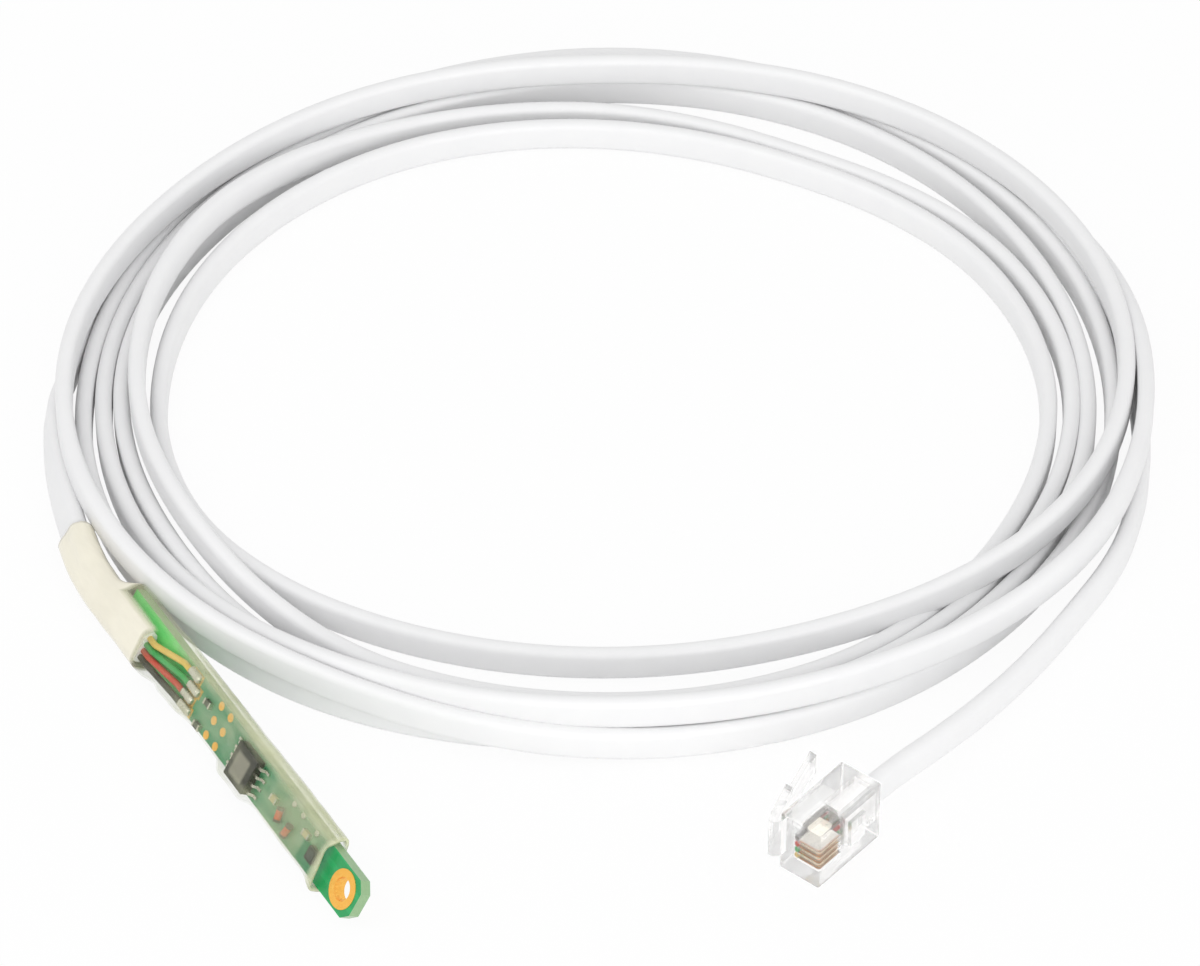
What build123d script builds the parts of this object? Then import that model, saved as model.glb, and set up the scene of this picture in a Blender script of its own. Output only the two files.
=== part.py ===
from build123d import *
import math
import os

# A strip light sensor: a narrow circuit board in a clear shrink sleeve, on a coiled flat
# four-wire cord with a clear modular plug. Lengths are millimetres, +Z is up.
# The head lies along Y with its mounting hole towards -Y, leaning on its lower long edge.

# Circuit board
board_length = 66.0
board_width = 6.1
board_thickness = 1.6
board_chamfer = 1.3
board_lean = 58.0
hole_to_end = 3.4
hole_radius = 1.6
plating_wall = 0.4
plating_skin = 0.07
ring_radius = 2.7
pad_thickness = 0.05

# Shrink sleeve, as distances along the board from the hole's centre
sleeve_wall = 0.5
sleeve_gap = 0.1
sleeve_mouth = 4.65
mouth_slant = 8.0
sleeve_rounding = 0.8
sleeve_slope = 0.35
sleeve_shoulder = 0.7
sleeve_tuck = 0.1
sleeve_bulge = 0.4
sleeve_overrun = 0.4
trim_spare = 1.0
parts_headroom = 1.6
thicken_start = 48.0
thicken_end = 52.5
waist_length = 3.0
bend_radius = 50.0
bend_angle = 15.0

# Flat cord and its wires
cord_width = 4.8
cord_thickness = 2.4
cord_rounding = 1.0
jacket_start = 54.2
jacket_offset = -0.9
cord_end_gap = 0.15
wire_radius = 0.45
wire_pitch = 1.02
wire_colours = ["yellow", "green", "red", "black"]
wire_bend = 1.2
wire_straight = 1.6
wire_foot = 1.5
wire_lift = 0.05
wire_end_places = {"yellow": (2.28, 44.9), "green": (0.75, 43.9), "red": (-0.78, 44.3), "black": (-2.3, 43.8)}

# Coil of the cord
coil_centre = (82.4, 35.4)
coil_outer_radius = 77.9
coil_hollow_centre = (81.0, 35.2)
coil_inner_radius = 56.0
coil_rounding = 1.2

# Modular plug, lying on its side: X from the contact side to the latch side, Y to the nose
plug_thickness = 6.6
plug_length = 12.9
plug_width = 9.65
plug_rounding = 0.3
plug_corner = (68.14, -60.8)
plug_heading = 200.2
plug_cord_centre = 3.2
plug_jacket_length = 6.5
plug_gap = 0.1
crimp_depth = 1.2
crimp_window = (3.2, 6.2)
crimp_margin = 0.4
blade_pitch = 1.02
blade_thickness = 0.3
blade_start = 8.5
blade_recess = 0.35
blade_nose = 0.4
blade_rounding = 0.5
plug_wire_centre = 4.0
nose_wall = 0.6
latch_width = 6.2
latch_tongue_width = 3.25
latch_thickness = 1.1
latch_rise = 6.4
latch_shoulder = 6.7
latch_overhang = 1.4
latch_root_length = 2.6
latch_root_sink = 0.2
latch_root_height = 1.7
latch_nose = 0.5
latch_slit = 1.3

# Small parts on the board: (across, along) from the hole's centre
chip_place = (-0.2, 26.3)
chip_size = (5.3, 5.0, 1.4)
chip_lift = 0.1
leg_count = 4
leg_pitch = 1.3
leg_width = 0.42
leg_reach = 1.7
leg_metal = 0.2
leg_shoulder = 0.7
leg_slope = 0.3
leg_inner = 0.15
light_chip_place = (-0.3, 7.5)
light_chip_size = (2.1, 2.0, 0.7)
window_margin = 0.35
window_height = 0.05
test_pad_radius = 0.62
test_pad_along = (34.0, 36.6)
test_pad_across = (-2.4, 0.0, 2.4)
capacitor_places = [(0.2, 18.9), (0.9, 10.4)]
resistor_places = [(1.1, 38.9), (-2.5, 38.8)]
component_size = (0.85, 1.6, 0.55)
terminal_length = 0.3
terminal_proud = 0.04
diode_places = [(-0.5, 16.5, 14.0), (-1.1, 13.8, -10.0)]
diode_radius = 0.5
diode_glass_length = 1.3
diode_cap_length = 0.35
diode_cap_proud = 0.05
dot_places = [(2.2, 15.3), (2.2, 12.8), (2.2, 9.0)]
dot_radius = 0.45
dot_height = 0.25
joint_length = 2.6
joint_radius = 0.65
joint_sink = 0.2
pad_margin = 0.1

half_width = board_width / 2
lean = math.radians(board_lean)
outer_half = half_width + sleeve_gap + sleeve_wall
back_depth = board_thickness + sleeve_gap + sleeve_wall
corner_relief = sleeve_rounding * (math.sin(lean) + math.cos(lean) - 1)
hole_height = outer_half * math.sin(lean) + back_depth * math.cos(lean) - corner_relief
jacket_middle = cord_thickness / 2
board_far_end = board_length - hole_to_end
bend_start = board_far_end + waist_length + sleeve_overrun
wire_shifts = [wire_pitch * step for step in (1.5, 0.5, -0.5, -1.5)]

# The board's own frame: X across it, Y along it, Z out of the face that carries the parts
board_plane = Plane(
    origin=(0, 0, hole_height),
    x_dir=(math.cos(lean), 0, math.sin(lean)),
    z_dir=(-math.sin(lean), 0, math.cos(lean)),
)
sideways = Vector(math.cos(lean), 0, -math.sin(lean))
upright = Vector(math.sin(lean), 0, math.cos(lean))


def block(low, high):
    """A box between two corners."""
    size = [b - a for a, b in zip(low, high)]
    centre = [(a + b) / 2 for a, b in zip(low, high)]
    return Pos(*centre) * Box(*size)


def inset(corners, distance):
    """The polygon's corners moved inwards, each side by the same distance."""
    moved = []
    count = len(corners)
    for index in range(count):
        before = Vector(*corners[index - 1])
        here = Vector(*corners[index])
        after = Vector(*corners[(index + 1) % count])
        first = (here - before).normalized()
        second = (after - here).normalized()
        bisector = (second - first).normalized()
        half_turn = math.radians(first.get_angle(second)) / 2
        moved.append(here + bisector * (distance / math.cos(half_turn)))
    return [(point.X, point.Y) for point in moved]


def cross_section(along, corners, rounding):
    """A rounded polygon across the board at a distance along it."""
    plane = Plane(origin=(0, along, 0), x_dir=(1, 0, 0), z_dir=(0, -1, 0))
    points = [(corner[0], corner[1]) for corner in corners]
    face = make_face(Polyline(*points, close=True))
    face = fillet(face.vertices(), rounding)
    return plane * face


def flat_section():
    """The cord's section: a flat oval, its width along X."""
    return RectangleRounded(cord_width, cord_thickness, cord_rounding)


def circuit_board():
    body = block((-half_width, -hole_to_end, -board_thickness), (half_width, board_far_end, 0))
    end_corners = body.edges().filter_by(Axis.Z).sort_by(Axis.Y)[:2]
    body = chamfer(end_corners, board_chamfer)
    hole = Pos(0, 0, -board_thickness / 2) * Cylinder(hole_radius + plating_wall, 2 * board_thickness)
    return body - hole


def hole_plating():
    barrel_length = board_thickness + 2 * plating_skin
    middle = Pos(0, 0, -board_thickness / 2)
    barrel = middle * Cylinder(hole_radius + plating_wall, barrel_length)
    front = Pos(0, 0, plating_skin / 2) * Cylinder(ring_radius, plating_skin)
    back = Pos(0, 0, -board_thickness - plating_skin / 2) * Cylinder(ring_radius, plating_skin)
    return barrel + front + back - middle * Cylinder(hole_radius, 2 * barrel_length)


def sleeve_outlines():
    """Corners of the sleeve's outside: over the small parts, over the jacket, and past the board."""
    side = outer_half
    back = -back_depth
    top = parts_headroom + sleeve_wall
    skin = sleeve_gap + sleeve_wall
    left = jacket_offset - cord_width / 2 - skin
    right = jacket_offset + cord_width / 2 + skin
    jacket_top = cord_thickness + skin
    over_parts = [
        (-side, back),
        (side, back),
        (side, sleeve_shoulder),
        (side - sleeve_slope, top),
        (sleeve_slope - side, top),
        (-side, sleeve_shoulder),
    ]
    over_jacket = [
        (sleeve_tuck - side, back),
        (side, back),
        (side, sleeve_shoulder),
        (right, jacket_top),
        (left, jacket_top),
        (left, sleeve_shoulder),
    ]
    past_board = [
        (left + sleeve_bulge, -skin),
        (right - sleeve_bulge, -skin),
        (right, jacket_middle),
        (right - sleeve_bulge, jacket_top),
        (left + sleeve_bulge, jacket_top),
        (left, jacket_middle),
    ]
    return over_parts, over_jacket, past_board


def bend_axis():
    """The upright line that the end of the sleeve bends about."""
    centre = Vector(jacket_offset, bend_start, jacket_middle) + sideways * bend_radius
    return Axis(centre, upright * -1)


def sleeve_body(wall, extra):
    """The sleeve's outside, or its hollow when a wall is given, which runs on past both ends."""
    outlines = sleeve_outlines()
    if wall:
        outlines = [inset(outline, wall) for outline in outlines]
    rounding = sleeve_rounding - wall
    over_parts, over_jacket, past_board = outlines
    mouth = sleeve_mouth - trim_spare - extra
    waist = board_far_end + sleeve_overrun + wall / 2
    first = cross_section(mouth, over_parts, rounding)
    second = cross_section(thicken_start, over_parts, rounding)
    third = cross_section(thicken_end, over_jacket, rounding)
    fourth = cross_section(waist, over_jacket, rounding)
    fifth = cross_section(bend_start, past_board, rounding)
    body = extrude(first, amount=thicken_start - mouth, dir=(0, 1, 0))
    body += loft([second, third], ruled=True)
    body += extrude(third, amount=waist - thicken_end, dir=(0, 1, 0))
    body += loft([fourth, fifth], ruled=True)
    body += revolve(fifth, axis=bend_axis(), revolution_arc=bend_angle + extra)
    return body


def shrink_sleeve():
    sleeve = sleeve_body(0, 0) - sleeve_body(sleeve_wall, 1.0)
    reach = 4 * outer_half
    trim = Pos(0, sleeve_mouth, 0) * Rot(0, 0, mouth_slant) * Pos(0, -reach / 2, 0) * Box(reach, reach, reach)
    return sleeve - trim


def cord_jacket_end():
    """The cord inside the sleeve: straight on the board, then bent with the sleeve."""
    plane = Plane(origin=(jacket_offset, jacket_start, jacket_middle), x_dir=(1, 0, 0), z_dir=(0, -1, 0))
    start = plane * flat_section()
    straight = extrude(start, amount=bend_start - jacket_start, dir=(0, 1, 0))
    turn = Pos(0, bend_start - jacket_start, 0) * start
    return straight + revolve(turn, axis=bend_axis(), revolution_arc=bend_angle)


def rod(points, radius, bend):
    """A round wire along straight runs with rounded corners."""
    path = FilletPolyline(*points, radius=bend)
    start = Plane(origin=path @ 0, z_dir=path % 0)
    return sweep(start * Circle(radius), path=path)


def board_wires():
    """Insulated wires from the jacket's end down to their joints."""
    low = wire_radius + pad_thickness + wire_lift
    wires = {}
    for colour, shift in zip(wire_colours, wire_shifts):
        across, along = wire_end_places[colour]
        start = jacket_offset + shift
        points = [
            (start, jacket_start, jacket_middle),
            (start, jacket_start - wire_straight, jacket_middle),
            (across, along + wire_foot, low),
            (across, along, low),
        ]
        wires[colour] = rod(points, wire_radius, wire_bend)
    return wires


def solder_joint(across, along):
    """A blob of solder, lying from a wire's end towards the hole."""
    centre = Pos(across, along - joint_length / 2, pad_thickness + joint_sink)
    bar = centre * Rot(90, 0, 0) * Cylinder(joint_radius, joint_length)
    far_rim = bar.edges().sort_by(Axis.Y)[0]
    bar = fillet(far_rim, joint_radius * 0.7)
    return bar & block(
        (across - 2, along - joint_length - 1, pad_thickness), (across + 2, along + 1, pad_thickness + 2)
    )


def landing_pads():
    """Bare gold pads under the joints."""
    pads = []
    for across, along in wire_end_places.values():
        low = (across - joint_radius - pad_margin, along - joint_length - 2 * pad_margin, 0)
        high = (across + joint_radius + pad_margin, along - 2 * pad_margin, pad_thickness)
        pads.append(block(low, high))
    return pads


def test_pads():
    disc = Cylinder(test_pad_radius, pad_thickness)
    return [
        Pos(across, along, pad_thickness / 2) * disc for along in test_pad_along for across in test_pad_across
    ]


def chip_body():
    width, depth, height = chip_size
    middle = Pos(chip_place[0], chip_place[1], chip_lift + (height - chip_lift) / 2)
    body = middle * Box(width, depth, height - chip_lift)
    return chamfer(body.edges().filter_by(Axis.Z), 0.1)


def chip_legs():
    """Bent metal legs along the chip's two long sides."""
    depth = chip_size[1] / 2
    knee = chip_size[2] * 0.5
    profile = [
        (depth, knee),
        (depth, knee + leg_metal),
        (depth + leg_shoulder, knee + leg_metal),
        (depth + leg_shoulder + leg_slope, leg_metal),
        (depth + leg_reach, leg_metal),
        (depth + leg_reach, 0),
        (depth + leg_shoulder + leg_slope - leg_inner, 0),
        (depth + leg_shoulder - leg_inner / 1.5, knee),
    ]
    leg_face = make_face(Polyline(*profile, close=True))
    plane = Plane(origin=(0, 0, 0), x_dir=(0, 1, 0), z_dir=(1, 0, 0))
    leg = Pos(-leg_width / 2, 0, 0) * extrude(plane * leg_face, amount=leg_width)
    legs = []
    for side in (0, 180):
        for index in range(leg_count):
            shift = (index - (leg_count - 1) / 2) * leg_pitch
            place = Pos(chip_place[0], chip_place[1], 0) * Rot(0, 0, side) * Pos(shift, 0, 0)
            legs.append(place * leg)
    return legs


def light_sensor_chip():
    width, depth, height = light_chip_size
    body = Pos(light_chip_place[0], light_chip_place[1], height / 2) * Box(width, depth, height)
    return chamfer(body.edges().filter_by(Axis.Z), 0.15)


def sensor_window():
    width, depth, height = light_chip_size
    place = Pos(light_chip_place[0], light_chip_place[1], height + window_height / 2)
    return place * Box(width - 2 * window_margin, depth - 2 * window_margin, window_height)


def small_component(place):
    """Body and two metal terminals of one chip component, its length along the board."""
    width, length, height = component_size
    across, along = place
    bare = length / 2 - terminal_length
    body = block((across - width / 2, along - bare, 0), (across + width / 2, along + bare, height))
    grown = width / 2 + terminal_proud
    top = height + terminal_proud
    near = block((across - grown, along - length / 2, 0), (across + grown, along - bare, top))
    far = block((across - grown, along + bare, 0), (across + grown, along + length / 2, top))
    return body, [near, far]


def diodes():
    """Glass bodies with dark caps, lying nearly across the board."""
    bodies = []
    caps = []
    cap_radius = diode_radius + diode_cap_proud
    for across, along, skew in diode_places:
        place = Pos(across, along, cap_radius) * Rot(0, 0, skew) * Rot(0, 90, 0)
        bodies.append(place * Cylinder(diode_radius, diode_glass_length))
        offset = (diode_glass_length + diode_cap_length) / 2
        for side in (-1, 1):
            caps.append(place * Pos(0, 0, side * offset) * Cylinder(cap_radius, diode_cap_length))
    return bodies, caps


def solder_dots():
    dots = []
    for across, along in dot_places:
        dot = Pos(across, along, dot_height / 2) * Cylinder(dot_radius, dot_height)
        top = dot.edges().sort_by(Axis.Z)[-1]
        dots.append(fillet(top, dot_height * 0.8))
    return dots


def plug_housing():
    """Clear moulding with its latch: hollow for the jacket, the wires and the blades."""
    middle = plug_width / 2
    body = block((0, 0, 0), (plug_thickness, plug_length, plug_width))
    body = fillet(body.edges(), plug_rounding)
    body += plug_latch(middle)
    jacket_half = cord_thickness / 2 + plug_gap
    cord_half = cord_width / 2 + plug_gap
    body -= block(
        (plug_cord_centre - jacket_half, -1, middle - cord_half),
        (plug_cord_centre + jacket_half, plug_jacket_length, middle + cord_half),
    )
    wire_half = wire_radius + 0.05
    wires_half = 1.5 * blade_pitch + wire_half
    body -= block(
        (plug_wire_centre - wire_half, plug_jacket_length - 0.5, middle - wires_half),
        (plug_wire_centre + wire_half, plug_length - nose_wall, middle + wires_half),
    )
    crimp_half = cord_half - crimp_margin
    crimp_near, crimp_far = crimp_window
    body -= block((-1, crimp_near, middle - crimp_half), (crimp_depth, crimp_far, middle + crimp_half))
    slot_half = blade_thickness / 2 + plug_gap / 2
    for step in (-1.5, -0.5, 0.5, 1.5):
        level = middle + step * blade_pitch
        body -= block(
            (-1, blade_start - plug_gap, level - slot_half),
            (plug_wire_centre - wire_half + 0.1, plug_length + 1, level + slot_half),
        )
    return body


def plug_latch(middle):
    """A springy tongue, rooted at the nose and rising away from the body towards the cord."""
    root = plug_thickness - latch_root_sink
    nose = plug_length + latch_nose
    step_at = latch_shoulder
    share = (plug_length - step_at) / (plug_length + latch_overhang)
    inner_root = plug_thickness + latch_slit - latch_thickness * 0.2
    inner_tip = plug_thickness + latch_rise - latch_thickness
    inner_step = inner_root + (inner_tip - inner_root) * share
    wide = [
        (root, plug_length - latch_root_length),
        (root, plug_length - latch_nose),
        (root + 2 * latch_nose, nose),
        (root + latch_root_height, nose),
        (inner_root + latch_thickness, plug_length - 1.6 * latch_nose),
        (inner_step + latch_thickness, step_at),
        (inner_step, step_at),
        (inner_root, plug_length - 4 * latch_nose),
    ]
    narrow = [
        (inner_step, step_at),
        (inner_step + latch_thickness, step_at),
        (inner_tip + latch_thickness, -latch_overhang),
        (inner_tip, -latch_overhang),
    ]
    tongue = Pos(0, 0, middle - latch_width / 2) * extrude(
        make_face(Polyline(*wide, close=True)), amount=latch_width
    )
    tip = Pos(0, 0, middle - latch_tongue_width / 2) * extrude(
        make_face(Polyline(*narrow, close=True)), amount=latch_tongue_width
    )
    return tongue + tip


def contact_blades():
    middle = plug_width / 2
    blades = []
    for step in (-1.5, -0.5, 0.5, 1.5):
        level = middle + step * blade_pitch
        blade = block(
            (blade_recess, blade_start, level - blade_thickness / 2),
            (plug_wire_centre - wire_radius, plug_length - blade_nose, level + blade_thickness / 2),
        )
        nose_corner = blade.edges().filter_by(Axis.Z).sort_by(lambda e: e.center().X - e.center().Y)[0]
        blades.append(fillet(nose_corner, blade_rounding))
    return blades


def plug_wires():
    middle = plug_width / 2
    length = plug_length - nose_wall - 0.1 - plug_jacket_length
    wires = []
    for step in (-1.5, -0.5, 0.5, 1.5):
        centre = Pos(plug_wire_centre, plug_jacket_length + length / 2, middle + step * blade_pitch)
        wires.append(centre * Rot(90, 0, 0) * Cylinder(wire_radius, length))
    return wires


def plug_jacket_end():
    plane = Plane(origin=(plug_cord_centre, 0, plug_width / 2), x_dir=(0, 0, 1), z_dir=(0, 1, 0))
    return extrude(plane * flat_section(), amount=plug_jacket_length)


def arc_radii(points):
    """The largest corner radii that the runs beside each corner leave room for."""
    radii = []
    for before, here, after in zip(points, points[1:], points[2:]):
        first = Vector(*here) - Vector(*before)
        second = Vector(*after) - Vector(*here)
        shorter = min(first.length, second.length)
        half_turn = math.radians(first.get_angle(second)) / 2
        radii.append(0.45 * shorter / math.tan(half_turn))
    return radii


def lead(name, points):
    """The cord along its route, standing on edge."""
    radii = arc_radii(points)
    print(name, "radii", [round(radius) for radius in radii])
    path = FilletPolyline(*points, radius=radii)
    plane = Plane(origin=path @ 0, x_dir=(0, 0, 1), z_dir=path % 0)
    solid = sweep(plane * flat_section(), path=path)
    section_area = flat_section().area
    print(name, "length", round(path.length, 1), "volume share", round(solid.volume / section_area / path.length, 3))
    return solid


def cord_coil():
    """The outer shape of the coiled cord: two strands high, closed."""
    height = 2 * cord_width
    outside = Pos(coil_centre[0], coil_centre[1], height / 2) * Cylinder(coil_outer_radius, height)
    hollow = Pos(coil_hollow_centre[0], coil_hollow_centre[1], height / 2) * Cylinder(
        coil_inner_radius, 2 * height
    )
    ring = outside - hollow
    return fillet(ring.edges().filter_by(GeomType.CIRCLE), coil_rounding)


head = {}
head["circuit_board"] = circuit_board()
head["hole_plating"] = hole_plating()
head["shrink_sleeve"] = shrink_sleeve()
head["cord_jacket_end"] = cord_jacket_end()
wires = board_wires()
for colour in wire_colours:
    head["wire_" + colour] = wires[colour]
head["solder_joints"] = Compound(
    children=[solder_joint(across, along) for across, along in wire_end_places.values()]
)
head["landing_pads"] = Compound(children=landing_pads())
head["test_pads"] = Compound(children=test_pads())
head["chip_body"] = chip_body()
head["chip_legs"] = Compound(children=chip_legs())
head["light_sensor_chip"] = light_sensor_chip()
head["sensor_window"] = sensor_window()
terminals = []
for node, places in (("chip_capacitors", capacitor_places), ("chip_resistors", resistor_places)):
    bodies = []
    for place in places:
        body, ends = small_component(place)
        bodies.append(body)
        terminals += ends
    head[node] = Compound(children=bodies)
head["component_terminals"] = Compound(children=terminals)
diode_glass, diode_ends = diodes()
head["diode_bodies"] = Compound(children=diode_glass)
head["diode_caps"] = Compound(children=diode_ends)
head["solder_dots"] = Compound(children=solder_dots())

# The head leans on its edge, and its box is centred on the origin
leaning = {node: board_plane.location * shape for node, shape in head.items()}
board_box = leaning["circuit_board"].bounding_box()
sleeve_box = leaning["shrink_sleeve"].bounding_box()
head_middle = (
    (min(board_box.min.X, sleeve_box.min.X) + max(board_box.max.X, sleeve_box.max.X)) / 2,
    (min(board_box.min.Y, sleeve_box.min.Y) + max(board_box.max.Y, sleeve_box.max.Y)) / 2,
)
head_shift = Pos(-head_middle[0], -head_middle[1], 0)
placed = {node: head_shift * shape for node, shape in leaning.items()}

# The plug lies where its cord ends
heading = math.radians(plug_heading)
plug_plane = Plane(
    origin=(plug_corner[0], plug_corner[1], 0),
    x_dir=(math.sin(heading), -math.cos(heading), 0),
    z_dir=(0, 0, 1),
)
placed["plug_housing"] = plug_plane.location * plug_housing()
placed["plug_jacket_end"] = plug_plane.location * plug_jacket_end()
for colour, wire in zip(wire_colours, plug_wires()):
    placed["plug_wire_" + colour] = plug_plane.location * wire
for number, blade in enumerate(contact_blades(), 1):
    placed["contact_blade_" + str(number)] = plug_plane.location * blade

# The cord leaves the sleeve and lies down on its edge to join the coil
bend = math.radians(bend_angle)
exit_in_board = (
    Vector(jacket_offset, bend_start, jacket_middle)
    + Vector(0, bend_radius * math.sin(bend), 0)
    + sideways * (bend_radius * (1 - math.cos(bend)))
)
exit_heading = Vector(math.sin(bend), math.cos(bend), 0)
sleeve_exit = head_shift.position + board_plane.from_local_coords(exit_in_board) + exit_heading * cord_end_gap
plug_entry = plug_plane.from_local_coords(Vector(plug_cord_centre, -cord_end_gap, plug_width / 2))
print("sleeve exit", sleeve_exit, "plug entry", plug_entry)
sensor_route = [
    tuple(sleeve_exit),
    (2.5, 48.1, 3.6),
    (4.8, 55.3, 2.9),
    (7.4, 62.0, 2.5),
    (10.4, 68.5, 2.4),
]
plug_route = [
    (127.6, -29.7, 2.4),
    (121.3, -34.6, 2.4),
    (113.7, -38.9, 2.4),
    (103.0, -44.6, 2.5),
    (91.9, -49.4, 3.0),
    (81.4, -53.1, 3.9),
    (73.6, -55.4, 4.6),
    tuple(plug_entry),
]
placed["cord_lead_sensor"] = lead("sensor lead", sensor_route)
placed["cord_lead_plug"] = lead("plug lead", plug_route)
placed["cord_coil"] = cord_coil()

hole_point = head_shift.position + board_plane.from_local_coords(Vector(0, 0, -board_thickness / 2))
nose_point = plug_plane.from_local_coords(Vector(plug_thickness / 2, plug_length, plug_width / 2))
print("mounting hole", hole_point, "axis", board_plane.z_dir, "plug nose", nose_point)

os.makedirs("parts", exist_ok=True)
for node, shape in placed.items():
    export_step(shape, "parts/" + node + ".step")
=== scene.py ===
import math

import bpy
from mathutils import Matrix, Vector, noise


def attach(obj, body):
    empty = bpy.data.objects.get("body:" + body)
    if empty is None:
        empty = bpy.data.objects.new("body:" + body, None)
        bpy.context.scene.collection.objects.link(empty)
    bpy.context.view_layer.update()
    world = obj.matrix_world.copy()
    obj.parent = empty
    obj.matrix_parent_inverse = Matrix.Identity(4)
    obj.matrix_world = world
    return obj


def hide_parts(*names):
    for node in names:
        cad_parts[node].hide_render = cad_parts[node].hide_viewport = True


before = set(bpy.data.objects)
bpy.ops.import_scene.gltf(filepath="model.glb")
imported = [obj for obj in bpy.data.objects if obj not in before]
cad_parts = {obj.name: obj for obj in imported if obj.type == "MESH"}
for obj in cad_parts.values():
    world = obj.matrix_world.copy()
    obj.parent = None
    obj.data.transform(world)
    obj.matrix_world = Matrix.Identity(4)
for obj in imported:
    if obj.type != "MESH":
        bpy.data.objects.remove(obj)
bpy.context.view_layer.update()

scene = bpy.context.scene
MM = 0.001


def look_at(thing, target):
    """Turn a camera or a lamp towards a point."""
    thing.rotation_euler = (Vector(target) - thing.location).to_track_quat("-Z", "Y").to_euler()


# Camera at the photograph's angle, fitted to the coil, the head and the plug
camera_data = bpy.data.cameras.new("camera")
camera_data.lens = 181.5
camera_data.sensor_width = 36
camera_data.sensor_fit = "HORIZONTAL"
camera_data.clip_start = 0.01
camera = bpy.data.objects.new("camera", camera_data)
scene.collection.objects.link(camera)
camera.location = (-0.2462, -0.5377, 0.5570)
look_at(camera, (0.07128, 0.01889, 0))
scene.camera = camera


# The board's own frame, as in the solids: X across, Y along from the hole, Z out of its face
lean = math.radians(58)
board_origin = Vector((0.4055, -38.118, 3.959)) * MM
board_frame = Matrix.Translation(board_origin) @ Matrix.Rotation(-lean, 4, "Y")

# The solids' sizes in millimetres that the drawn cord and the drawn sleeve share
cord_width = 4.8
cord_thickness = 2.4
board_thickness = 1.6
board_half_width = 3.05
board_far_end = 62.6
jacket_offset = -0.9
sleeve_wall = 0.5
sleeve_gap = 0.1
sleeve_depth = sleeve_gap + sleeve_wall
bend_start = 66.0
bend_radius = 50.0
bend_angle = math.radians(15)


def smooth(low, high, value):
    """0 below low, 1 above high, and an even rise between them."""
    share = min(max((value - low) / (high - low), 0), 1)
    return share * share * (3 - 2 * share)


def hill(centre, half, soft, value):
    """1 over a stretch about its centre, falling to 0 at both sides."""
    return 1 - smooth(half, half + soft, abs(value - centre))


def linear(red, green, blue):
    """A colour written in the photograph's 0 to 255 as the shader's own numbers."""
    channels = []
    for value in (red, green, blue):
        share = value / 255
        channels.append(share / 12.92 if share <= 0.04045 else ((share + 0.055) / 1.055) ** 2.4)
    return (*channels, 1)


# Shader nodes; the owner of the nodes is a material or the world

def add_node(owner, kind, **values):
    """A node with its own settings and its sockets' values set by name."""
    node = owner.node_tree.nodes.new(kind)
    for name, value in values.items():
        if hasattr(node, name):
            setattr(node, name, value)
        else:
            node.inputs[name.replace("_", " ")].default_value = value
    return node


def join(owner, output, target):
    owner.node_tree.links.new(output, target)


def maths(owner, operation, *values):
    """One operation on a single value, or on several taken from left to right."""
    result, *others = values
    for other in others or [None]:
        node = add_node(owner, "ShaderNodeMath", operation=operation)
        for socket, value in zip(node.inputs, (result, other)):
            if isinstance(value, (int, float)):
                socket.default_value = value
            elif value is not None:
                join(owner, value, socket)
        result = node.outputs[0]
    return result


def levels(owner, factor, low, high, start=0.35, end=0.65):
    """A level that goes from low to high while the factor goes from start to end."""
    node = add_node(owner, "ShaderNodeMapRange", From_Min=start, From_Max=end, To_Min=low, To_Max=high)
    join(owner, factor, node.inputs["Value"])
    return node.outputs["Result"]


def seen_share(owner):
    """1 for what the camera sees directly, mirrored or through the clear parts, and 0 for light."""
    paths = add_node(owner, "ShaderNodeLightPath")
    rays = ("Is Camera Ray", "Is Glossy Ray", "Is Transmission Ray")
    return maths(owner, "MAXIMUM", *[paths.outputs[ray] for ray in rays])


def place(owner, board=False):
    """Coordinates in metres in the shared frame, or in the board's own frame."""
    coordinates = add_node(owner, "ShaderNodeTexCoord").outputs["Object"]
    if not board:
        return coordinates
    mapping = add_node(
        owner, "ShaderNodeMapping", vector_type="TEXTURE", Location=board_origin, Rotation=(0, -lean, 0)
    )
    join(owner, coordinates, mapping.inputs["Vector"])
    return mapping.outputs["Vector"]


def stretched_place(owner, board, stretch):
    """The same coordinates with each axis scaled."""
    mapping = add_node(owner, "ShaderNodeMapping", Scale=stretch)
    join(owner, place(owner, board), mapping.inputs["Vector"])
    return mapping.outputs["Vector"]


def board_axes(owner):
    """Places in metres across the board, along it and out of its face."""
    axes = add_node(owner, "ShaderNodeSeparateXYZ")
    join(owner, place(owner, board=True), axes.inputs["Vector"])
    return axes.outputs["X"], axes.outputs["Y"], axes.outputs["Z"]


def patch(owner, axes, centre, halves, soft):
    """1 over a rectangle of the board's face, falling to 0 around it."""
    sides = []
    for axis, middle, half in zip(axes, centre, halves):
        distance = maths(owner, "ABSOLUTE", maths(owner, "SUBTRACT", axis, middle))
        sides.append(levels(owner, distance, 1, 0, half, half + soft))
    return maths(owner, "MULTIPLY", *sides)


def grain(owner, scale, board=False, stretch=None):
    """A noise of the given scale per metre."""
    texture = add_node(owner, "ShaderNodeTexNoise", Scale=scale, Detail=3.0)
    coordinates = stretched_place(owner, board, stretch) if stretch else place(owner, board)
    join(owner, coordinates, texture.inputs["Vector"])
    return texture.outputs["Fac"]


def between(owner, factor, first, second):
    """Two colours mixed by a factor; each is a colour or another node's output."""
    mix = add_node(owner, "ShaderNodeMix", data_type="RGBA")
    join(owner, factor, mix.inputs["Factor"])
    sockets = [socket for socket in mix.inputs if socket.type == "RGBA"]
    for socket, value in zip(sockets, (first, second)):
        if isinstance(value, tuple):
            socket.default_value = linear(*value)
        else:
            join(owner, value, socket)
    return next(socket for socket in mix.outputs if socket.type == "RGBA")


# Materials

def shader_of(material):
    return material.node_tree.nodes["Principled BSDF"]


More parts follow.
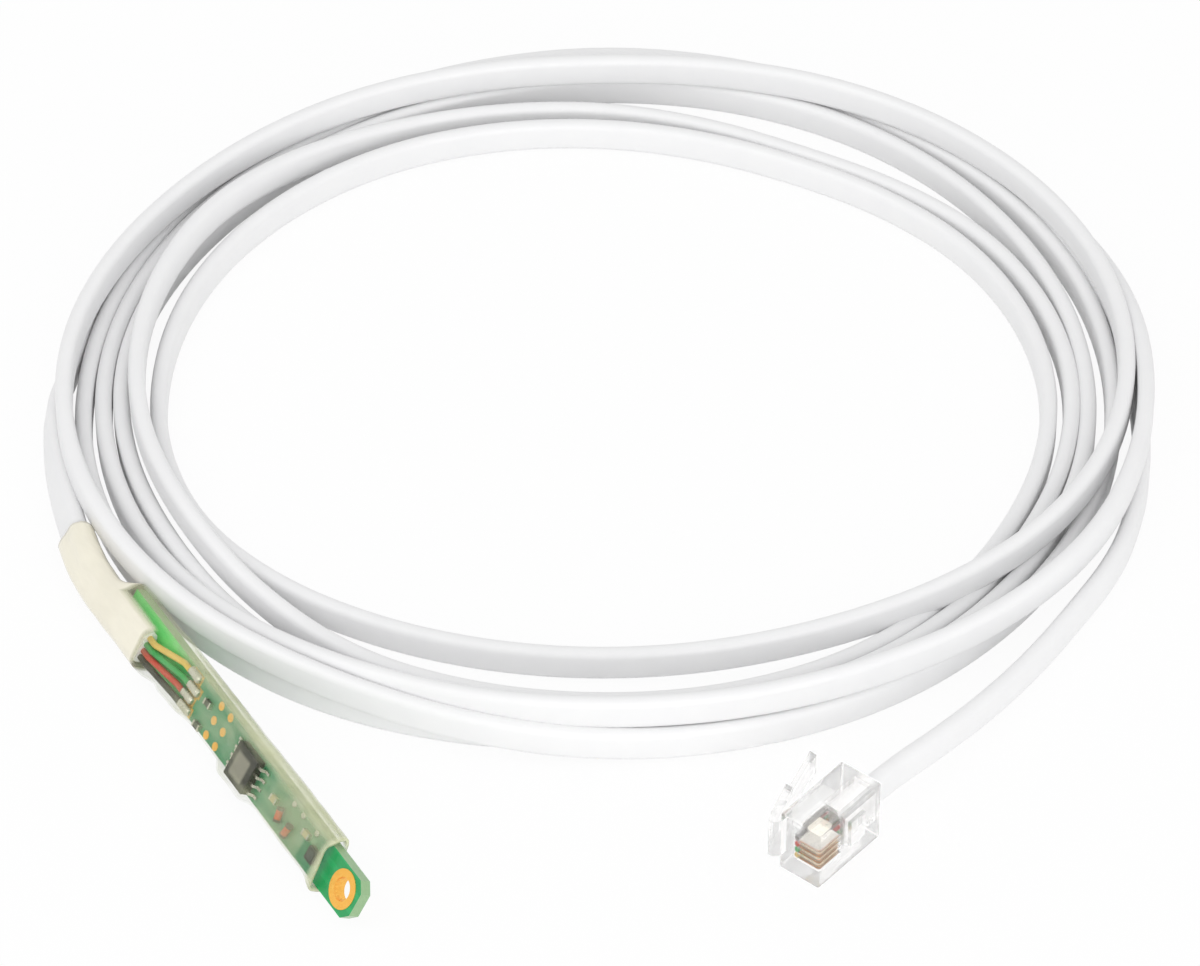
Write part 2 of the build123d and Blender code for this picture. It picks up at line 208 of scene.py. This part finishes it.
def new_material(name, colour, roughness, **sockets):
    material = bpy.data.materials.new(name)
    material.use_nodes = True
    shader = shader_of(material)
    shader.inputs["Base Color"].default_value = linear(*colour)
    shader.inputs["Roughness"].default_value = roughness
    for socket, value in sockets.items():
        shader.inputs[socket.replace("_", " ")].default_value = value
    return material


def drive(material, socket, output):
    """Lead a node's output to one of the shader's own sockets."""
    join(material, output, shader_of(material).inputs[socket])


def bump(material, height, distance, strength):
    node = add_node(material, "ShaderNodeBump", Strength=strength, Distance=distance)
    join(material, height, node.inputs["Height"])
    drive(material, "Normal", node.outputs["Normal"])


def plain_plastic(name, colour, shade, roughness, scale=900):
    """A moulded or extruded plastic: faint colour changes and a fine skin."""
    material = new_material(name, colour, roughness)
    drive(material, "Base Color", between(material, grain(material, scale), colour, shade))
    polish = levels(material, grain(material, scale * 1.7), roughness - 0.06, roughness + 0.08)
    drive(material, "Roughness", polish)
    bump(material, grain(material, scale * 4), 0.00002, 0.3)
    return material


def metal(name, colour, shade, roughness, scale=1500, metallic=1.0):
    """A plated or tinned surface with a slightly uneven polish."""
    material = new_material(name, colour, roughness, Metallic=metallic)
    drive(material, "Base Color", between(material, grain(material, scale), colour, shade))
    polish = levels(material, grain(material, scale * 2), roughness - 0.08, roughness + 0.15)
    drive(material, "Roughness", polish)
    bump(material, grain(material, scale * 3), 0.00003, 0.4)
    return material


def board_material():
    """Solder mask with faint tracks under it, and the glass-fibre edge where the board is cut."""
    material = new_material("board_green", (0, 158, 84), 0.35, Coat_Weight=0.3, Coat_Roughness=0.15)
    _, along, out = board_axes(material)
    tracks = add_node(
        material,
        "ShaderNodeTexWave",
        wave_type="BANDS",
        bands_direction="X",
        Scale=150,
        Distortion=1.6,
        Detail=1,
        Detail_Scale=0.6,
    )
    join(material, stretched_place(material, True, (1, 0.25, 1)), tracks.inputs["Vector"])
    lines = levels(material, tracks.outputs["Fac"], 0, 1, 0.62, 0.72)
    mask = between(material, lines, (2, 156, 82), (14, 168, 92))
    mask = between(material, levels(material, grain(material, 300), 0, 0.4), mask, (0, 146, 76))

    # Duller under the sleeve, and painted light: brighter green beside the jacket, over the jacket's
    # shadow
    under_sleeve = levels(material, along, 0, 0.75, 0.0046, 0.0060)
    before_jacket = levels(material, along, 1, 0.15, 0.0400, 0.0450)
    dull = maths(material, "MULTIPLY", under_sleeve, before_jacket)
    mask = between(material, dull, mask, (66, 134, 98))
    painted_light_beside_jacket = levels(material, along, 0, 1, 0.0440, 0.0500)
    mask = between(material, painted_light_beside_jacket, mask, (98, 222, 112))

    # The cut edge is everything but a thin skin at the two faces
    mask_skin = 0.03
    fibres = grain(material, 2500, board=True, stretch=(1, 0.2, 4))
    fibre = between(material, fibres, (126, 166, 116), (160, 190, 146))
    from_middle = maths(material, "ABSOLUTE", maths(material, "ADD", out, board_thickness / 2 * MM))
    on_face = maths(material, "GREATER_THAN", from_middle, (board_thickness / 2 - mask_skin) * MM)
    drive(material, "Base Color", between(material, on_face, fibre, mask))
    bump(material, lines, 0.00002, 0.5)
    return material


def chip_material():
    """Moulded black case, with a painted sheen: its middle is painted paler where the sleeve lies on it.
    """
    material = new_material("chip_black", (52, 52, 49), 0.4)
    across, along, _ = board_axes(material)
    middle = patch(material, (across, along), (-0.0004, 0.0265), (0.0015, 0.0013), 0.0005)
    speckle = grain(material, 5000)
    dark = between(material, speckle, (26, 26, 25), (44, 43, 40))
    # Painted sheen: the paler colour of the middle patch
    pale = between(material, speckle, (126, 124, 112), (146, 143, 128))
    drive(material, "Base Color", between(material, middle, dark, pale))
    bump(material, speckle, 0.00003, 0.4)
    return material


def sleeve_material():
    """Clear, slightly yellow shrink sleeve: milkier in places, along its edges and round its mouth."""
    material = new_material("clear_sleeve", (222, 220, 190), 0.2, Coat_Weight=0.5, Coat_Roughness=0.06)
    across, along, _ = board_axes(material)

    # Clouds in the film, and its milkiness where it is seen edge on
    clouds = grain(material, 190, board=True, stretch=(1, 0.45, 1))
    cloud = levels(material, clouds, 0.0, 0.22, 0.42, 0.62)
    cloud = maths(material, "MULTIPLY", cloud, levels(material, along, 1.0, 0.35, 0.040, 0.046))
    facing = add_node(material, "ShaderNodeLayerWeight", Blend=0.3).outputs["Facing"]
    edge = maths(material, "MULTIPLY", facing, 0.16)

    # The lip round the mouth, the streaky fold along one edge and the tight edge opposite
    lip = levels(material, along, 0.45, 0, 0.0050, 0.0060)
    streaks = levels(material, grain(material, 500, board=True, stretch=(1, 0.12, 1)), 0.4, 1.0)
    fold = maths(
        material,
        "MULTIPLY",
        levels(material, across, 0, 0.55, 0.0029, 0.0036),
        streaks,
        levels(material, along, 1.0, 0.3, 0.044, 0.049),
    )
    low_edge = levels(material, across, 0.12, 0, -0.0040, -0.0034)

    # Clearer over the light sensor
    over_sensor = patch(material, (across, along), (-0.0003, 0.0075), (0.0014, 0.0014), 0.0006)
    haze = maths(material, "ADD", cloud, edge, lip, maths(material, "MAXIMUM", fold, low_edge))
    haze = maths(material, "MULTIPLY", haze, levels(material, over_sensor, 1, 0.3, 0, 1))

    # Cream over the jacket, from its slanting end on, and all round past the board
    end_line = levels(material, across, 0.0534, 0.0539, -0.0035, 0.0020)
    past_end = levels(material, maths(material, "SUBTRACT", along, end_line), 0, 0.85, -0.0006, 0.0006)
    left_side = levels(material, across, 1, 0, 0.0020, 0.0026)
    past_board = levels(material, along, 0, 1, 0.0625, 0.0635)
    over_jacket = maths(material, "MULTIPLY", past_end, maths(material, "MAXIMUM", left_side, past_board))
    most_opaque = 0.95
    haze = maths(material, "MINIMUM", maths(material, "ADD", haze, over_jacket), most_opaque)
    drive(material, "Alpha", haze)

    tint = between(material, grain(material, 400), (206, 212, 164), (226, 226, 196))
    tint = between(material, low_edge, tint, (170, 196, 146))
    drive(material, "Base Color", between(material, over_jacket, tint, (249, 243, 228)))
    bump(material, grain(material, 700, board=True, stretch=(1, 0.35, 1)), 0.0002, 0.4)
    return material


def plug_material():
    """Clear moulding with a faintly uneven skin and a light shadow."""
    material = new_material("clear_plug", (254, 253, 252), 0.03, Transmission_Weight=1.0, IOR=1.3)
    drive(material, "Roughness", levels(material, grain(material, 700), 0.0, 0.12))
    bump(material, grain(material, 350), 0.0001, 0.25)
    shadow = add_node(material, "ShaderNodeLightPath").outputs["Is Shadow Ray"]
    drive(material, "Alpha", levels(material, shadow, 0.7, 0.1, 0, 1))
    return material


def blade_material():
    """Gold-plated contact sheet, with painted light: its flat faces painted near white, its cut edges
    keep the gold's browner colour.
    """
    material = metal("blade_gold", (226, 164, 108), (206, 140, 86), 0.3, metallic=0.2)
    edge = shader_of(material).inputs["Base Color"].links[0].from_socket
    direction = add_node(material, "ShaderNodeSeparateXYZ")
    normal = add_node(material, "ShaderNodeNewGeometry").outputs["Normal"]
    join(material, normal, direction.inputs["Vector"])
    upright = maths(material, "ABSOLUTE", direction.outputs["Z"])
    painted_light_share = levels(material, upright, 0, 1, 0.7, 0.95)
    # Painted light: the near-white colour of the flat faces
    face = between(material, grain(material, 900), (255, 252, 244), (253, 246, 230))
    drive(material, "Base Color", between(material, painted_light_share, edge, face))
    return material


def floor_material():
    """Matt floor that looks white to the camera and keeps a little of the object's shadow."""
    material = new_material("floor", (244, 244, 244), 0.9)
    glow = add_node(material, "ShaderNodeEmission", Strength=1.0)
    mix = add_node(material, "ShaderNodeMixShader")
    glow_share = 0.93
    join(material, maths(material, "MULTIPLY", seen_share(material), glow_share), mix.inputs["Fac"])
    join(material, shader_of(material).outputs["BSDF"], mix.inputs[1])
    join(material, glow.outputs["Emission"], mix.inputs[2])
    surface = material.node_tree.nodes["Material Output"].inputs["Surface"]
    join(material, mix.outputs["Shader"], surface)
    return material


materials = {
    "cord": plain_plastic("cord_jacket", (240, 240, 240), (236, 236, 237), 0.42, 260),
    "board": board_material(),
    "gold": metal("gold_plating", (255, 200, 104), (250, 186, 84), 0.34),
    "pad": metal("pad_gold", (232, 196, 110), (214, 176, 92), 0.4),
    "solder": metal("solder", (214, 212, 196), (188, 186, 170), 0.3, 900),
    "chip": chip_material(),
    "dark_chip": plain_plastic("chip_grey", (52, 56, 52), (40, 44, 40), 0.35),
    "window": plain_plastic("sensor_glass", (66, 74, 70), (50, 56, 54), 0.12, 2200),
    "ceramic": plain_plastic("ceramic_tan", (206, 192, 140), (184, 168, 116), 0.5, 2500),
    "diode": plain_plastic("diode_glass", (222, 96, 44), (196, 70, 34), 0.12, 1200),
    "cap": plain_plastic("diode_cap", (74, 50, 40), (52, 38, 32), 0.4, 1500),
    "sleeve": sleeve_material(),
    "plug": plug_material(),
    "blade": blade_material(),
    "yellow": plain_plastic("wire_yellow", (228, 196, 104), (214, 180, 88), 0.4, 700),
    "green": plain_plastic("wire_green", (64, 172, 90), (50, 154, 76), 0.4, 700),
    "red": plain_plastic("wire_red", (206, 66, 44), (184, 52, 36), 0.4, 700),
    "black": plain_plastic("wire_black", (46, 46, 42), (34, 34, 32), 0.4, 700),
    "plug_black": plain_plastic("plug_wire_black", (128, 124, 120), (104, 100, 96), 0.4, 700),
    "floor": floor_material(),
}

finishes = {
    "circuit_board": "board",
    "hole_plating": "gold",
    "cord_jacket_end": "cord",
    "wire_yellow": "yellow",
    "wire_green": "green",
    "wire_red": "red",
    "wire_black": "black",
    "solder_joints": "solder",
    "landing_pads": "pad",
    "test_pads": "gold",
    "chip_body": "chip",
    "chip_legs": "solder",
    "light_sensor_chip": "dark_chip",
    "sensor_window": "window",
    "chip_capacitors": "ceramic",
    "chip_resistors": "dark_chip",
    "component_terminals": "solder",
    "diode_bodies": "diode",
    "diode_caps": "cap",
    "solder_dots": "solder",
    "plug_housing": "plug",
    "plug_jacket_end": "cord",
    "plug_wire_yellow": "yellow",
    "plug_wire_green": "green",
    "plug_wire_red": "red",
    "plug_wire_black": "plug_black",
    "contact_blade_1": "blade",
    "contact_blade_2": "blade",
    "contact_blade_3": "blade",
    "contact_blade_4": "blade",
}
for node, finish in finishes.items():
    for material_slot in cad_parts[node].material_slots:
        material_slot.material = materials[finish]


def add_mesh(name, vertices, faces, finish, smooth_faces=True):
    mesh = bpy.data.meshes.new(name)
    mesh.from_pydata(vertices, [], faces)
    mesh.update()
    for polygon in mesh.polygons:
        polygon.use_smooth = smooth_faces
    mesh.materials.append(materials[finish])
    piece = bpy.data.objects.new(name, mesh)
    scene.collection.objects.link(piece)
    return piece


def add_skin(name, rings, finish, closed=False):
    """A piece through equal rings of points; a closed one joins its last ring to its first."""
    count = len(rings[0])
    steps = len(rings) if closed else len(rings) - 1
    faces = []
    for row in range(steps):
        base = row * count
        above = ((row + 1) % len(rings)) * count
        for index in range(count):
            after = (index + 1) % count
            faces.append((base + index, base + after, above + after, above + index))
    if not closed:
        faces.append(tuple(reversed(range(count))))
        faces.append(tuple(range(steps * count, steps * count + count)))
    return add_mesh(name, [point for ring in rings for point in ring], faces, finish)


# The cord, from the sleeve through its loose turns to the plug, clockwise from above, in millimetres

# Heights of a strand on the floor and of one that lies on another
flat = 2.4
crossed = 7.2
sensor_lead = [
    (0.6534, 40.9678, 3.8315),
    (2.5, 48.1, 3.6),
    (4.8, 55.3, 2.9),
    (7.4, 62.0, 2.5),
    (10.4, 68.5, 2.4),
]
plug_lead = [
    (127.6, -29.7, 2.4),
    (121.3, -34.6, 2.4),
    (113.7, -38.9, 2.4),
    (103.0, -44.6, 2.5),
    (91.9, -49.4, 3.0),
    (81.4, -53.1, 3.9),
    (73.6, -55.4, 4.6),
    (67.1758, -57.745, 4.825),
]
# Radius and height of each turn, every 30 degrees from the left of the photograph
turns = [
    [(74.2, flat), (73.0, flat), (72.5, flat), (74.3, flat), (73.8, flat), (74.6, flat),
     (75.1, crossed), (76.3, crossed), (73.5, crossed), (72.0, crossed), (72.8, crossed), (70.6, flat)],
    [(69.4, flat), (68.3, flat), (68.6, flat), (70.1, flat), (70.5, flat), (70.9, flat),
     (71.0, flat), (72.2, flat), (73.6, flat), (73.6, 2.8), (75.4, crossed), (75.8, crossed)],
    [(74.5, crossed), (70.4, crossed), (67.9, crossed), (66.0, crossed), (69.5, crossed), (72.3, crossed),
     (72.95, crossed), (70.0, crossed), (62.1, 5.0), (57.6, 2.5), (59.3, flat), (62.9, flat)],
    [(61.6, flat), (60.8, flat), (59.3, flat), (56.6, flat), (55.4, flat), (59.2, flat),
     (61.9, flat), (63.5, flat), (66.5, flat), (66.4, flat), (66.2, flat), (65.2, crossed)],
    [(64.7, crossed), (64.5, crossed), (63.6, 3.0), (60.7, flat), (57.8, flat), (62.6, flat),
     (65.2, flat), (66.3, flat), (68.9, flat), (68.8, flat), (70.8, flat), (67.6, flat)],
    [(67.0, flat), (65.7, flat), (66.2, flat), (67.7, flat), (68.0, flat), (66.9, flat),
     (67.3, flat), (69.2, flat), (71.2, flat), (71.1, flat), (74.1, flat), (74.4, flat)],
    [(71.8, flat), (70.7, flat), (71.0, flat), (72.5, flat), (72.6, flat), (72.2, flat), (74.0, flat)],
]
last_radius = 76.2
stations = [station for turn in turns for station in turn]
coil_centre = (81.04, 35.19)
first_angle = 150.3
station_angle = 30
# The coil's real size over the size at which its radii were read
coil_scale = 1.02
# The smooth line runs a little inside its control points, so they are set this much further out
spline_pull = 1.0086
steps_between_points = 10


def on_coil(radius, height, station):
    """A point of the route at a station of the coil, counted from the first one."""
    angle = math.radians(first_angle - station_angle * station)
    reach = radius * coil_scale * spline_pull
    return (coil_centre[0] + reach * math.cos(angle), coil_centre[1] + reach * math.sin(angle), height)


def midway(station):
    """Radius and height halfway to the next station, on a cubic through four stations."""
    last = len(stations) - 1
    near = [stations[min(max(station + offset, 0), last)] for offset in (-1, 0, 1, 2)]
    radius, height = [
        (9 * (here + there) - before - beyond) / 16
        for before, here, there, beyond in zip(*near)
    ]
    return radius, min(max(height, flat), crossed)


coil_points = []
for station, (radius, height) in enumerate(stations):
    coil_points.append(on_coil(radius, height, station))
    halfway = midway(station) if station + 1 < len(stations) else (last_radius, flat)
    coil_points.append(on_coil(*halfway, station + 0.5))
route = [Vector(point) * MM for point in sensor_lead + coil_points + plug_lead]


def read_spline(points, steps):
    """The points of a smooth spline that has the route's points as its control points."""
    curve = bpy.data.curves.new("route", "CURVE")
    curve.dimensions = "3D"
    spline = curve.splines.new("NURBS")
    spline.points.add(len(points) - 1)
    for target, point in zip(spline.points, points):
        target.co = (*point, 1)
    spline.order_u = 3
    spline.use_endpoint_u = True
    spline.resolution_u = steps
    carrier = bpy.data.objects.new("route", curve)
    scene.collection.objects.link(carrier)
    mesh = bpy.data.meshes.new_from_object(carrier)
    line = [vertex.co.copy() for vertex in mesh.vertices]
    bpy.data.objects.remove(carrier)
    bpy.data.curves.remove(curve)
    bpy.data.meshes.remove(mesh)
    return line


def cord_section():
    """The flat cord's outline: (across its thickness, along its width)."""
    corner = 1.05
    corner_steps = 4
    outline = []
    for sign_x, sign_y, start in ((1, 1, 0), (-1, 1, 90), (-1, -1, 180), (1, -1, 270)):
        for step in range(corner_steps + 1):
            angle = math.radians(start + 90 / corner_steps * step)
            x = sign_x * (cord_thickness / 2 - corner) + corner * math.cos(angle)
            y = sign_y * (cord_width / 2 - corner) + corner * math.sin(angle)
            outline.append((x * MM, y * MM))
    return outline


def cord_rings(line):
    """The cord's section along its line, turning from its slant in the sleeve to upright."""
    exit_width = Vector(
        (math.cos(lean) * math.cos(bend_angle), -math.cos(lean) * math.sin(bend_angle), math.sin(lean))
    )
    roll_start = 0.004
    roll_end = 0.045
    outline = cord_section()
    rings = []
    length = 0.0
    for index, point in enumerate(line):
        before = line[max(index - 1, 0)]
        after = line[min(index + 1, len(line) - 1)]
        length += (point - before).length
        heading = (after - before).normalized()
        width = exit_width.lerp(Vector((0, 0, 1)), smooth(roll_start, roll_end, length))
        width = (width - heading * width.dot(heading)).normalized()
        side = heading.cross(width)
        rings.append([point + side * x + width * y for x, y in outline])
    return rings


line = read_spline(route, steps_between_points)
cord = add_skin("coiled_cord", cord_rings(line), "cord")
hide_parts("cord_coil", "cord_lead_sensor", "cord_lead_plug")
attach(cord, "root")


# The shrink sleeve, drawn close over the parts, the jacket and the board's free edge

mouth = 4.65
mouth_slant = math.tan(math.radians(8))
sleeve_end = bend_start + bend_radius * bend_angle
sleeve_steps = 150
sleeve_count = 96


def sleeve_profile(along):
    """Corners of the sleeve's outside at a distance along the board."""
    edge = board_half_width + sleeve_depth
    back = -board_thickness - sleeve_depth

    # Its face is higher over the chip, the diodes and the wires, and its empty fold narrows on the way
    height = 1.5 + 0.6 * hill(26.5, 2.4, 3.0, along) + 0.15 * hill(15, 2.5, 3, along)
    height += 0.35 * hill(48.5, 1.5, 3.5, along)
    upper_fold = 0.75 - 0.35 * smooth(8, 45, along)

    # Its lower side hugs the board's edge, and stands off it at the chip, the wires and the mouth
    hug = 0.28 * hill(28, 18, 6, along)
    raised = max(hill(26.3, 2.7, 2.5, along), smooth(39, 44, along), 1 - smooth(4.5, 7, along))
    over_parts = [
        (-edge, back),
        (edge + upper_fold, back),
        (edge + upper_fold, -0.9),
        (edge - 0.75, height),
        (-2.3 - 1.15 * raised, height),
        (hug - edge, 0.1 + 0.6 * raised),
        (hug - edge, -0.6),
        (0.5 * hug - edge, -1.2),
    ]

    left = jacket_offset - cord_width / 2 - sleeve_depth
    right = jacket_offset + cord_width / 2 + sleeve_depth
    top = cord_thickness + sleeve_depth
    over_jacket = [
        (0.15 - edge, back),
        (edge + 0.35, back),
        (edge + 0.35, 0.2),
        (right + 0.3, 1.1),
        (right - 0.3, top - 0.1),
        (left + 0.8, top + 0.05),
        (left - 0.05, top - 0.9),
        (left - 0.05, 0.5),
    ]
    past_board = [
        (left + 0.7, -sleeve_depth),
        (right - 0.7, -sleeve_depth),
        (right, 0.4),
        (right + 0.1, 1.6),
        (right - 0.7, top + 0.05),
        (left + 0.7, top + 0.05),
        (left - 0.1, 1.7),
        (left - 0.05, 0.5),
    ]
    onto_jacket = smooth(47.5, 53.0, along)
    off_board = smooth(board_far_end - 0.6, bend_start + 0.5, along)
    return [
        Vector(part).lerp(Vector(jacket), onto_jacket).lerp(Vector(past), off_board)
        for part, jacket, past in zip(over_parts, over_jacket, past_board)
    ]


def rounded_loop(corners, rounding):
    """The corners' polygon read at even angles from its middle and rounded off."""
    middle = sum(corners, Vector((0, 0))) / len(corners)
    angles = [2 * math.pi * step / sleeve_count for step in range(sleeve_count)]
    rays = [Vector((math.cos(angle), math.sin(angle))) for angle in angles]
    reaches = []
    for ray in rays:
        reach = 0
        for here, there in zip(corners, corners[1:] + corners[:1]):
            side = there - here
            crossing = ray.cross(side)
            if abs(crossing) < 1e-9:
                continue
            offset = here - middle
            distance = offset.cross(side) / crossing
            share = offset.cross(ray) / crossing
            if distance > 0 and -1e-6 <= share <= 1 + 1e-6:
                reach = max(reach, distance)
        reaches.append(reach)
    for _ in range(rounding):
        reaches = [
            (reaches[index - 1] + 2 * reaches[index] + reaches[(index + 1) % sleeve_count]) / 4
            for index in range(sleeve_count)
        ]
    return [middle + ray * reach for ray, reach in zip(rays, reaches)]


def sleeve_place(x, y, z):
    """A point of the sleeve in the shared frame, bent past the board's end."""
    if y > bend_start:
        angle = (y - bend_start) / bend_radius
        start = board_frame @ (Vector((x, bend_start, z)) * MM)
        pivot = board_frame @ (Vector((jacket_offset, bend_start, cord_thickness / 2)) * MM)
        pivot += Vector((bend_radius * MM, 0, 0))
        return pivot + Matrix.Rotation(-angle, 3, "Z") @ (start - pivot)
    return board_frame @ (Vector((x, y, z)) * MM)


def sleeve_ring(along, wall):
    """The sleeve's creased outline at a distance along the board, moved in by the wall."""
    rounding = 4 + round(12 * smooth(50, 54, along))
    loop = rounded_loop(sleeve_profile(along), rounding)
    middle = sum(loop, Vector((0, 0))) / len(loop)
    ring = []
    for index, point in enumerate(loop):
        tangent = loop[(index + 1) % sleeve_count] - loop[index - 1]
        normal = Vector((tangent.y, -tangent.x)).normalized()
        if normal.dot(point - middle) < 0:
            normal = -normal
        point = point - normal * wall
        creases = 0.07 * noise.noise(Vector((point.x * 0.9, along * 0.35, point.y * 0.9)))
        creases += 0.03 * noise.noise(Vector((point.x * 2.5, along * 0.8, point.y * 2.5 + 7)))
        ring.append(point + normal * creases)
    return ring


def sleeve_shell(inside):
    """Rings of the sleeve's outside or inside, from its slanting mouth to its far end."""
    shell = []
    for step in range(sleeve_steps + 1):
        share = step / sleeve_steps
        along = mouth + (sleeve_end - mouth) * share
        wall = 0.24 + 0.18 * (1 - smooth(0, 0.06, share)) if inside else 0.0
        slant = mouth_slant * (1 - smooth(0, 0.08, share))
        ring = sleeve_ring(along, wall)
        shell.append([sleeve_place(point.x, along + slant * point.x, point.y) for point in ring])
    return shell


sleeve_rings = sleeve_shell(inside=False) + sleeve_shell(inside=True)[::-1]
sleeve = add_skin("drawn_sleeve", sleeve_rings, "sleeve", closed=True)
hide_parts("shrink_sleeve")
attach(sleeve, "root")


# Plain pale floor, soft light

floor_half = 3.0
floor_level = -0.00005
floor_corners = [
    (x * floor_half, y * floor_half, floor_level) for x, y in ((-1, -1), (1, -1), (1, 1), (-1, 1))
]
floor = add_mesh("floor", floor_corners, [(0, 1, 2, 3)], "floor", smooth_faces=False)

ambient_strength = 0.76
seen_strength = 1.0
world = bpy.data.worlds.new("studio")
world.use_nodes = True
background = world.node_tree.nodes["Background"]
background.inputs["Color"].default_value = (1, 1, 1, 1)
strength = levels(world, seen_share(world), ambient_strength, seen_strength, 0, 1)
join(world, strength, background.inputs["Strength"])
scene.world = world


def soft_lamp(name, position, size, power):
    data = bpy.data.lights.new(name, "AREA")
    data.shape = "SQUARE"
    data.size = size
    data.energy = power
    lamp = bpy.data.objects.new(name, data)
    scene.collection.objects.link(lamp)
    lamp.location = position
    look_at(lamp, (0.07, 0.02, 0))


soft_lamp("key", (-0.5, 0.1, 0.8), size=0.6, power=1.5)
soft_lamp("front", (-0.15, -0.95, 0.45), size=0.9, power=4.2)

scene.view_settings.view_transform = "Standard"
